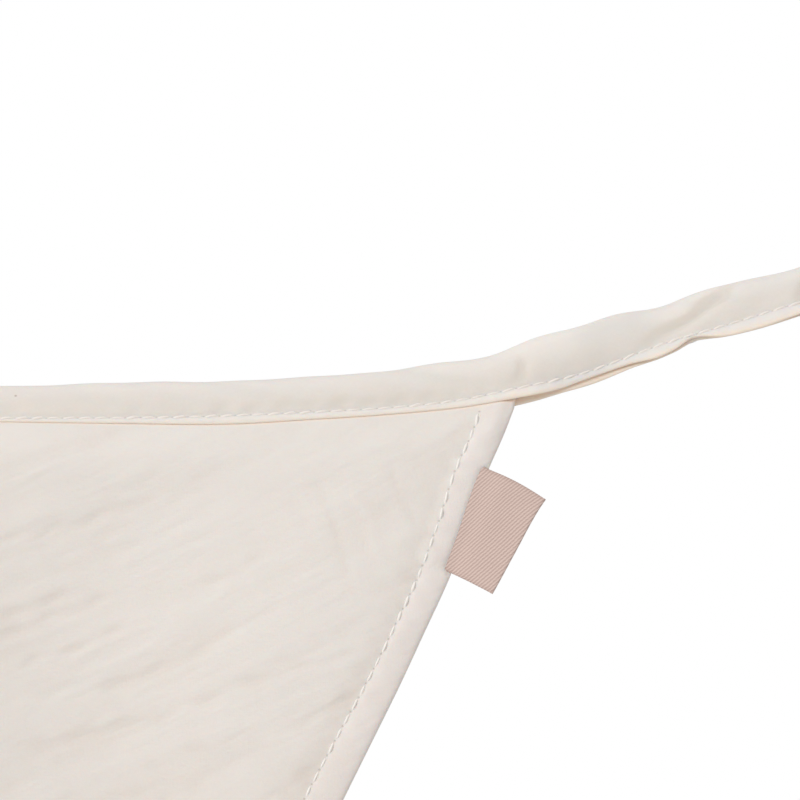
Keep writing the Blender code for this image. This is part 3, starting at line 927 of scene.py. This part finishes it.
def stitch_tree():
    """Geometry nodes that lay one arched thread on each point of a guide."""
    tree = bpy.data.node_groups.new("arched_stitches", "GeometryNodeTree")
    sockets = tree.interface
    sockets.new_socket("Guide", in_out="INPUT", socket_type="NodeSocketGeometry")
    for name, value in (
        ("Stitch Length", STITCH * MM),
        ("Thread Radius", THREAD_RADIUS * MM),
        ("Arch", HEM_ARCH * MM),
        ("Slant", 0.10),
        ("Unevenness", 0.5),
    ):
        made = sockets.new_socket(name, in_out="INPUT", socket_type="NodeSocketFloat")
        made.default_value = value
    sockets.new_socket("Seed", in_out="INPUT", socket_type="NodeSocketInt")
    sockets.new_socket("Thread", in_out="INPUT", socket_type="NodeSocketMaterial")
    sockets.new_socket("Stitches", in_out="OUTPUT", socket_type="NodeSocketGeometry")

    def add(kind, settings=None, values=None):
        node = tree.nodes.new(kind)
        for key, value in (settings or {}).items():
            setattr(node, key, value)
        for key, value in (values or {}).items():
            if isinstance(value, bpy.types.NodeSocket):
                tree.links.new(value, node.inputs[key])
            else:
                node.inputs[key].default_value = value
        return node

    def math_node(operation, *values):
        return add("ShaderNodeMath", {"operation": operation}, dict(enumerate(values))).outputs[0]

    given = add("NodeGroupInput").outputs
    half = math_node("MULTIPLY", given["Stitch Length"], 0.5)
    back = math_node("MULTIPLY", half, -1.0)
    crown = math_node("MULTIPLY", given["Arch"], 3.6)
    dip = math_node("MULTIPLY", given["Arch"], -2.2)
    start = add("ShaderNodeCombineXYZ", None, {"X": back, "Z": dip}).outputs[0]
    top = add("ShaderNodeCombineXYZ", None, {"Z": crown}).outputs[0]
    end = add("ShaderNodeCombineXYZ", None, {"X": half, "Z": dip}).outputs[0]
    arc = add(
        "GeometryNodeCurveQuadraticBezier", None, {"Resolution": 7, "Start": start, "Middle": top, "End": end}
    ).outputs[0]
    ring = add("GeometryNodeCurvePrimitiveCircle", None, {"Resolution": 6, "Radius": given["Thread Radius"]})
    thread = add(
        "GeometryNodeCurveToMesh",
        None,
        {"Curve": arc, "Profile Curve": ring.outputs["Curve"], "Fill Caps": True},
    ).outputs[0]
    way = add("GeometryNodeInputNamedAttribute", {"data_type": "FLOAT_VECTOR"}, {"Name": "way"})
    facing = add("GeometryNodeInputNamedAttribute", {"data_type": "FLOAT_VECTOR"}, {"Name": "facing"})
    span = add("GeometryNodeInputNamedAttribute", {"data_type": "FLOAT"}, {"Name": "span"})
    axes = add(
        "FunctionNodeAxesToRotation",
        {"primary_axis": "X", "secondary_axis": "Z"},
        {"Primary Axis": way.outputs["Attribute"], "Secondary Axis": facing.outputs["Attribute"]},
    ).outputs[0]
    loose = add(
        "FunctionNodeRandomValue", {"data_type": "FLOAT"}, {"Min": -1.0, "Max": 1.0, "Seed": given["Seed"]}
    )
    off = math_node("MULTIPLY", loose.outputs["Value"], given["Unevenness"])
    yaw = math_node("MULTIPLY_ADD", off, 0.16, given["Slant"])
    turn = add("ShaderNodeCombineXYZ", None, {"Z": yaw}).outputs[0]
    turned = add(
        "FunctionNodeRotateRotation",
        {"rotation_space": "LOCAL"},
        {"Rotation": axes, "Rotate By": add("FunctionNodeEulerToRotation", None, {"Euler": turn}).outputs[0]},
    ).outputs[0]
    plump = math_node("MULTIPLY_ADD", off, 0.35, 1.0)
    scale = add(
        "ShaderNodeCombineXYZ", None, {"X": span.outputs["Attribute"], "Y": plump, "Z": plump}
    ).outputs[0]
    placed = add(
        "GeometryNodeInstanceOnPoints",
        None,
        {"Points": given["Guide"], "Instance": thread, "Rotation": turned, "Scale": scale},
    ).outputs[0]
    real = add("GeometryNodeRealizeInstances", None, {"Geometry": placed}).outputs[0]
    smooth = add("GeometryNodeSetShadeSmooth", None, {"Geometry": real}).outputs[0]
    painted = add(
        "GeometryNodeSetMaterial", None, {"Geometry": smooth, "Material": given["Thread"]}
    ).outputs[0]
    add("NodeGroupOutput", None, {"Stitches": painted})
    return tree


def sew(name, rows, tree, thread, seed, arch):
    """Stitches along rows of needle holes, as one plain mesh."""
    parts = [between_holes(*row) for row in rows]
    cloud = guide(name + "_guide", *[np.concatenate([part[n] for part in parts]) for n in range(4)])
    lay = cloud.modifiers.new("stitches", "NODES")
    lay.node_group = tree
    inputs = {item.name: item.identifier for item in tree.interface.items_tree if item.in_out == "INPUT"}
    lay[inputs["Seed"]] = seed
    lay[inputs["Thread"]] = thread
    lay[inputs["Arch"]] = arch * MM
    graph = bpy.context.evaluated_depsgraph_get()
    mesh = bpy.data.meshes.new_from_object(cloud.evaluated_get(graph))
    mesh.name = name
    piece = bpy.data.objects.new(name, mesh)
    bpy.context.scene.collection.objects.link(piece)
    bpy.data.objects.remove(cloud, do_unlink=True)
    return piece


# Materials

class Value:
    """A socket of a material that Python's operators combine through Math nodes."""

    def __init__(self, shader, socket):
        self.shader = shader
        self.socket = socket

    def math(self, operation, first, second):
        return self.shader.add("ShaderNodeMath", {"operation": operation}, {0: first, 1: second})

    def __add__(self, other):
        return self.math("ADD", self, other)

    def __sub__(self, other):
        return self.math("SUBTRACT", self, other)

    def __rsub__(self, other):
        return self.math("SUBTRACT", other, self)

    def __mul__(self, other):
        return self.math("MULTIPLY", self, other)

    def __rmul__(self, other):
        return self.math("MULTIPLY", other, self)

    def __pow__(self, other):
        return self.math("POWER", self, other)


class Shader:
    """A material under construction around its Principled BSDF."""

    def __init__(self, name, roughness, sheen, specular):
        self.material = bpy.data.materials.new(name)
        self.material.use_nodes = True
        self.tree = self.material.node_tree
        self.surface = self.tree.nodes["Principled BSDF"]
        self.surface.inputs["Roughness"].default_value = roughness
        self.surface.inputs["Sheen Weight"].default_value = sheen
        self.surface.inputs["Sheen Roughness"].default_value = 0.6
        self.surface.inputs["Specular IOR Level"].default_value = specular
        self.surface.inputs["Subsurface Radius"].default_value = (1.0, 0.6, 0.4)
        self.surface.inputs["Subsurface Scale"].default_value = 1.2 * MM

    def set(self, node, key, value):
        found = [s for s in node.inputs if s.identifier == key]
        socket = found[0] if found else node.inputs[key]
        if isinstance(value, Value):
            self.tree.links.new(value.socket, socket)
        else:
            socket.default_value = value

    def add(self, kind, settings=None, values=None, out=0):
        """Any node: its settings first, then the values or links of its sockets."""
        node = self.tree.nodes.new(kind)
        for key, value in (settings or {}).items():
            setattr(node, key, value)
        for key, value in (values or {}).items():
            self.set(node, key, value)
        found = [s for s in node.outputs if s.identifier == out]
        return Value(self, found[0] if found else node.outputs[out])

    def step(self, value, low, high):
        """0 below the low value, 1 above the high one and a soft step between."""
        return self.add(
            "ShaderNodeMapRange",
            {"interpolation_type": "SMOOTHSTEP"},
            {"Value": value, "From Min": low, "From Max": high},
        )

    def blend(self, share, first, second):
        first, second = [(*c, 1.0) if isinstance(c, tuple) else c for c in (first, second)]
        return self.add(
            "ShaderNodeMix",
            {"data_type": "RGBA"},
            {"Factor_Float": share, "A_Color": first, "B_Color": second},
            "Result_Color",
        )

    def noise(self, vector, scale, detail=2.0, roughness=0.5):
        return self.add(
            "ShaderNodeTexNoise",
            None,
            {"Vector": vector, "Scale": scale, "Detail": detail, "Roughness": roughness},
            "Fac",
        )

    def finish(self, colour, height, distance):
        bump = self.add("ShaderNodeBump", None, {"Height": height, "Distance": distance}, "Normal")
        self.set(self.surface, "Base Color", colour)
        self.set(self.surface, "Normal", bump)
        return self.material


def uv(shader, name):
    """A UV map's two coordinates, in metres along the cloth, and the whole vector."""
    vector = shader.add("ShaderNodeUVMap", {"uv_map": name}, None, "UV")
    x = shader.add("ShaderNodeSeparateXYZ", None, {"Vector": vector}, "X")
    y = Value(shader, x.socket.node.outputs["Y"])
    return x, y, vector


def sine(shader, value):
    return shader.add("ShaderNodeMath", {"operation": "SINE"}, {0: value})


def slubs(shader, x, y):
    """Uneven threads of both directions, as a height of 0 to 1 without a regular pattern."""
    heights = []
    for first, second in ((x, y), (y, x)):
        place = shader.add("ShaderNodeCombineXYZ", None, {"X": first * 0.22, "Y": second})
        heights.append(shader.noise(place, 2300.0, 1.0))
    return (heights[0] + heights[1]) * 0.5


def needle_holes(shader, row_at):
    """Small dark holes a stitch apart along the seam map's row."""
    along, inset, _ = uv(shader, "seam")
    near = along.math("PINGPONG", along, 0.5 * STITCH * MM)
    off = inset - row_at * MM
    gap = (near * near + off * off) ** 0.5
    return 1.0 - shader.step(gap, 0.10 * MM, HOLE_RADIUS * MM)


def streaks(shader, x, y, angle, stretch, scale):
    """Wandering noise drawn out along the direction of the cloth's crinkles."""
    turn = math.radians(angle)
    wander = shader.noise(shader.vector, 90.0, 2.0) * (1.6 * MM)
    run = x * math.cos(turn) + y * math.sin(turn)
    off = y * math.cos(turn) - x * math.sin(turn) + wander
    place = shader.add("ShaderNodeCombineXYZ", None, {"X": run * stretch, "Y": off})
    return shader.noise(place, scale, 2.0, 0.5)


def cotton(name, row_at):
    """Undyed double gauze: fine uneven weave, painted warm shade in its troughs, faint mottling and a row of
    needle holes.
    """
    shader = Shader(name, 0.95, 0.12, 0.2)
    shader.surface.inputs["Subsurface Weight"].default_value = 0.3
    shader.x, shader.y, shader.vector = uv(shader, "cloth")
    shader.fold = shader.add("ShaderNodeAttribute", {"attribute_name": "fold"}, None, "Fac")
    # The mask of painted warm bounce light under a lip and of painted warm shade inside the tape
    shader.tucked = shader.add("ShaderNodeAttribute", {"attribute_name": "tucked"}, None, "Fac")
    shader.grain = shader.noise(shader.vector, 1500.0, 2.0, 0.8)
    shader.cloudy = shader.noise(shader.vector, 30.0, 3.0)
    shader.holes = needle_holes(shader, row_at)
    return shader


def pennant_gauze(name):
    """The pennants' cloth: crinkled, with painted warm shade in its troughs, along its streaks and beside the
    hem, darker towards the bottom, and painted warm bounce light under the tape's lip.
    """
    shader = cotton(name, HEM)
    x, y = shader.x, shader.y
    _, inset, _ = uv(shader, "seam")
    threads = slubs(shader, x, y)
    patchy = shader.step(shader.noise(shader.vector, 45.0, 1.0), 0.38, 0.62)
    # Streaks and soft patches along the crinkles, used as bumps and as painted shade in the colour
    lines = streaks(shader, x, y, 25.0, 0.17, 290.0) * (patchy * 0.5 + 0.5)
    patches = streaks(shader, x, y, 25.0, 0.45, 150.0)
    hem = 1.0 - shader.step(inset, 5.8 * MM, 6.5 * MM)
    # Painted shade in the crease troughs and beside the hem's row of stitches; the cloth also darkens towards
    # the bottom
    trough_shade = 1.0 - shader.step(shader.fold, -0.20, 0.04)
    beside = shader.step(inset, 6.3 * MM, 7.2 * MM) * (1.0 - shader.step(inset, 7.4 * MM, 12.5 * MM))
    low = shader.step(0.0 - y, 30.0 * MM, 120.0 * MM)
    # Painted shade of troughs, streaks, patches and the hem's side, with the darkening towards the bottom and
    # random mottling
    shade_and_mottle = trough_shade * 0.30 + (0.5 - lines) * 0.30 + beside * 0.22 + low * 0.26 + 0.12
    shade_and_mottle = shade_and_mottle + (0.5 - shader.cloudy) * 0.45 + (0.5 - shader.grain) * 0.45 + (0.5 - threads) * 0.2
    shade_and_mottle = shade_and_mottle + (0.5 - patches) * 0.35
    base = shader.blend(hem, COTTON, COTTON_HEM)
    colour = shader.blend(shader.step(shade_and_mottle, 0.0, 1.0), base, COTTON_SHADE)
    # Painted warm bounce light in the shade under the tape's lip
    colour = shader.blend(shader.tucked, colour, COTTON_BOUNCE_UNDER_LIP)
    dark = shader.blend(shader.holes * 0.30, colour, HOLE_SHADE)
    height = threads * 0.7 + shader.grain * 0.45 + lines * 4.6 + patches * 3.0 - shader.holes * 0.8
    return shader.finish(dark, height, 0.08 * MM)


def tape_gauze(name):
    """The tape's cloth, cut on the bias: painted warm shade low down, in its dents and inside, painted bounce
    light on the lip over each pennant, and one dark fleck.
    """
    shader = cotton(name, 0.0)
    shader.surface.inputs["Subsurface Weight"].default_value = 0.5
    shader.surface.inputs["Subsurface Scale"].default_value = 2.0 * MM
    x, y = shader.x, shader.y
    along, up, _ = uv(shader, "seam")
    threads = slubs(shader, (x + y) * math.sqrt(0.5), (x - y) * math.sqrt(0.5))
    lines = streaks(shader, x, y, 12.0, 0.2, 400.0)
    # Painted warm shade on the lower face above the stitches, and in the tape's dents and puckers
    low = (1.0 - shader.step(up, 2.0 * MM, 8.8 * MM)) * shader.step(up, -0.3 * MM, 0.8 * MM)
    trough_shade = 1.0 - shader.step(shader.fold, -0.5, 0.0)
    # The mix of painted shade with faint streaks and random mottling
    shade_and_mottle = low * 0.55 + trough_shade * 0.55 + (0.5 - lines) * 0.15 + 0.04
    shade_and_mottle = shade_and_mottle + (0.5 - shader.cloudy) * 0.45 + (0.5 - shader.grain) * 0.30 + (0.5 - threads) * 0.2
    # Painted bounce light on the tape's lip where it lies over a pennant
    off = along.math("PINGPONG", along, 0.5 * PITCH * MM)
    lip = (1.0 - shader.step(up, -0.6 * MM, 0.2 * MM)) * (1.0 - shader.step(off, 99.0 * MM, 106.0 * MM))
    base = shader.blend(lip, COTTON_TAPE, COTTON_LIP_LIT)
    colour = shader.blend(shader.step(shade_and_mottle, 0.0, 1.0), base, COTTON_SHADE)
    # Painted warm shade on the tape's inside and on the rolled edges of its lips
    colour = shader.blend(shader.tucked, colour, COTTON_INSIDE_SHADE)
    gap = ((along - FLECK[0] * MM) ** 2.0 + (up - FLECK[1] * MM) ** 2.0) ** 0.5
    fleck = 1.0 - shader.step(gap, 0.12 * MM, 0.38 * MM)
    dark = shader.blend(shader.holes * 0.20 + fleck * 0.5, colour, FLECK_SHADE)
    height = threads * 0.5 + shader.grain * 0.25 + lines * 1.0 - shader.holes * 0.6
    return shader.finish(dark, height, 0.08 * MM)


def ribbon(name):
    """Fine twill: slanting ribs of a light and a dark thread, darker at the woven edges."""
    shader = Shader(name, 0.75, 0.08, 0.3)
    out, down, vector = uv(shader, "cloth")
    turn = math.radians(58.0)
    pitch = 0.54
    wander = shader.noise(vector, 700.0, 1.0) - 0.5
    across = out * math.sin(turn) + down * math.cos(turn)
    rib = sine(shader, across * (2 * math.pi / (pitch * MM)) + wander * 1.6)
    run = out * math.cos(turn) + down * math.sin(turn)
    picks = sine(shader, run * (2 * math.pi / (0.36 * MM)) + wander * 2.0)
    mottled = shader.noise(vector, 160.0, 3.0)
    edge_top = 1.0 - shader.step(down, (LABEL_START + 0.2) * MM, (LABEL_START + 0.9) * MM)
    edge_end = shader.step(down, (LABEL_END - 0.9) * MM, (LABEL_END - 0.2) * MM)
    fold = shader.step(out, (LABEL_OUT_END + 1.0) * MM, (LABEL_OUT_TOP + 2.0) * MM)
    share = rib * 0.46 + picks * 0.08 + mottled * 0.3 + 0.38 - (edge_top + edge_end) * 0.25 - fold * 0.1
    colour = shader.blend(shader.step(share, 0.0, 1.0), LABEL_DARK, LABEL_LIGHT)
    return shader.finish(colour, rib * 0.5 + picks * 0.2, 0.05 * MM)


def sewing_thread(name, colour):
    """Ivory thread with a faint twist."""
    shader = Shader(name, 0.8, 0.4, 0.3)
    place = shader.add("ShaderNodeTexCoord", None, None, "Object")
    twist = shader.noise(place, 5200.0, 1.0)
    tone = shader.blend(twist, tuple(0.96 * channel for channel in colour), colour)
    return shader.finish(tone, twist, 0.01 * MM)


def plain(name, colour, roughness):
    shader = Shader(name, roughness, 0.0, 0.2)
    place = shader.add("ShaderNodeTexCoord", None, None, "Object")
    speckle = shader.noise(place, 3.0, 2.0)
    tone = shader.blend(speckle, tuple(0.985 * channel for channel in colour), colour)
    return shader.finish(tone, speckle, 0.0001)


# Stage, light and camera

LENS = 400.0
VIEW_WIDTH = 0.160
KEY_WATTS = 26.0
FILL_WATTS = 14.0
EVEN_LIGHT = 0.56
FLOOR_SIZE = 7.0


def make_stage():
    low = cad_box[0]
    bpy.ops.mesh.primitive_plane_add(size=FLOOR_SIZE, location=(0.54, 0.0, low[2] - 0.32))
    floor = bpy.context.object
    floor.name = "floor"
    floor.data.materials.append(plain("pale_floor", (0.86, 0.86, 0.86), 0.9))


def make_light(name, place, target, size, power):
    lamp = bpy.data.lights.new(name, "AREA")
    lamp.shape = "SQUARE"
    lamp.size = size
    lamp.energy = power
    holder = bpy.data.objects.new(name, lamp)
    holder.location = place
    holder.rotation_euler = (Vector(target) - Vector(place)).to_track_quat("-Z", "Y").to_euler()
    bpy.context.scene.collection.objects.link(holder)


def make_world():
    """White to the camera and a gentler even light to the cloth."""
    world = bpy.data.worlds.new("studio")
    bpy.context.scene.world = world
    world.use_nodes = True
    nodes = world.node_tree.nodes
    links = world.node_tree.links
    seen = nodes["Background"]
    seen.inputs["Color"].default_value = (1.0, 1.0, 1.0, 1.0)
    seen.inputs["Strength"].default_value = 1.0
    lit = nodes.new("ShaderNodeBackground")
    lit.inputs["Color"].default_value = (1.0, 1.0, 1.0, 1.0)
    lit.inputs["Strength"].default_value = EVEN_LIGHT
    rays = nodes.new("ShaderNodeLightPath")
    mix = nodes.new("ShaderNodeMixShader")
    links.new(rays.outputs["Is Camera Ray"], mix.inputs[0])
    links.new(lit.outputs[0], mix.inputs[1])
    links.new(seen.outputs[0], mix.inputs[2])
    links.new(mix.outputs[0], nodes["World Output"].inputs["Surface"])


def make_camera():
    """Square on to the front, a long lens, framing 160 mm at the middle pennant's right corner."""
    middle = (in_tape(0.0, 0.0, 0.0) - TIED_END) * MM
    camera = bpy.data.cameras.new("camera")
    camera.lens = LENS
    camera.sensor_width = 36.0
    camera.clip_start = 0.05
    holder = bpy.data.objects.new("camera", camera)
    distance = VIEW_WIDTH * LENS / camera.sensor_width
    holder.location = (middle[0] + 0.077, middle[1] - distance, middle[2] + 0.00457)
    holder.rotation_euler = (math.pi / 2, 0.0, 0.0)
    bpy.context.scene.collection.objects.link(holder)
    bpy.context.scene.camera = holder


# Assembly

def wear(piece, material, slot, *nodes):
    piece.data.materials.clear()
    piece.data.materials.append(material)
    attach(piece, "root")
    if nodes:
        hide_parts(*nodes)


def build():
    make_camera()
    make_world()
    make_stage()
    middle = (in_tape(0.0, 0.0, 0.0) - TIED_END) * MM
    make_light("key", (middle[0] - 1.15, -1.6, middle[2] + 1.1), middle, 0.9, KEY_WATTS)
    make_light("fill", (middle[0] + 1.1, -1.8, middle[2] - 1.2), middle, 1.6, FILL_WATTS)
    pennant_cotton = pennant_gauze("pennant_gauze")
    tape_cotton = tape_gauze("tape_gauze")
    hem_thread = sewing_thread("hem_thread", THREAD)
    tape_thread = sewing_thread("tape_thread", TAPE_THREAD)
    tree = stitch_tree()

    tape = make_tape()
    wear(tape, tape_cotton, "tape_cloth", "tape")
    tape_rows = [tape_holes(FRONT), tape_holes(BACK)]
    tape_stitches = sew("tape_stitches", tape_rows, tree, tape_thread, 3, TAPE_ARCH)
    wear(tape_stitches, tape_thread, "tape_cloth")

    label = make_label()
    wear(label, ribbon("woven_label"), "label_ribbon", "label")

    for pennant in PENNANTS:
        cloth = make_pennant(pennant)
        wear(cloth, pennant_cotton, "pennant_cloth", pennant.name)
        rows = [hem_row(pennant, FRONT), hem_row(pennant, BACK)]
        stitches = sew(pennant.name + "_stitches", rows, tree, hem_thread, pennant.seed, HEM_ARCH)
        wear(stitches, hem_thread, "pennant_cloth")


bpy.context.scene.view_settings.view_transform = "Standard"
build()
